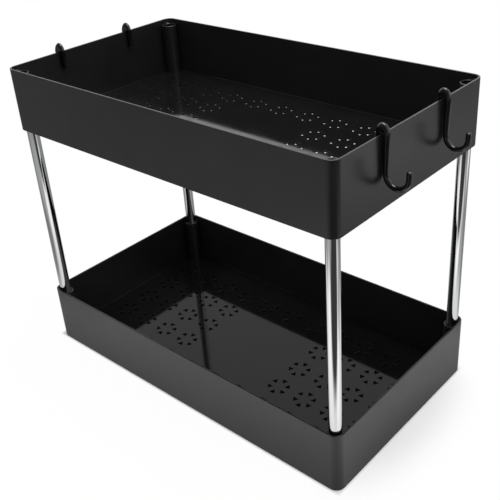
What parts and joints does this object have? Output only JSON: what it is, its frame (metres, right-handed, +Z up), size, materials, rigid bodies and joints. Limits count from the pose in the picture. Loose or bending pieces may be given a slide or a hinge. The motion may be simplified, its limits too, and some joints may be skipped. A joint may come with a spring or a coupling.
{
  "type": "utility shelf",
  "caption": "Free-standing utility shelf: deep trays with flower-perforated floors stacked on chrome corner tubes, with J-hooks that slide along the end rims.",
  "frame": {"origin": "on the floor, under the middle of the shelf", "axes": "+X along the shelf's length, towards its right end; +Y towards its back; +Z up"},
  "size_m": [0.4528, 0.22, 0.3313],
  "materials": {
    "tray_plastic": "glossy black moulded plastic",
    "tube_chrome": "bright chrome plate",
    "hook_plastic": "glossy black moulded plastic"
  },
  "bodies": {
    "shelf": {"lower_tray": "tray_plastic", "upper_tray": "tray_plastic", "tube_front_right": "tube_chrome", "tube_front_left": "tube_chrome", "tube_back_right": "tube_chrome", "tube_back_left": "tube_chrome"},
    "front_right_hook": {"hook_front_right": "hook_plastic"},
    "back_right_hook": {"hook_back_right": "hook_plastic"},
    "front_left_hook": {"hook_front_left": "hook_plastic"},
    "back_left_hook": {"hook_back_left": "hook_plastic"}
  },
  "joints": [
    {"name": "front_right_hook_slide", "type": "slide", "parent": "shelf", "child": "front_right_hook", "axis": [0, 1, 0], "range_m": [-0.0406, 0.044]},
    {"name": "back_right_hook_slide", "type": "slide", "parent": "shelf", "child": "back_right_hook", "axis": [0, 1, 0], "range_m": [-0.038, 0.0472]},
    {"name": "front_left_hook_slide", "type": "slide", "parent": "shelf", "child": "front_left_hook", "axis": [0, 1, 0], "range_m": [-0.0439, 0.041]},
    {"name": "back_left_hook_slide", "type": "slide", "parent": "shelf", "child": "back_left_hook", "axis": [0, 1, 0], "range_m": [-0.041, 0.0439]}
  ]
}
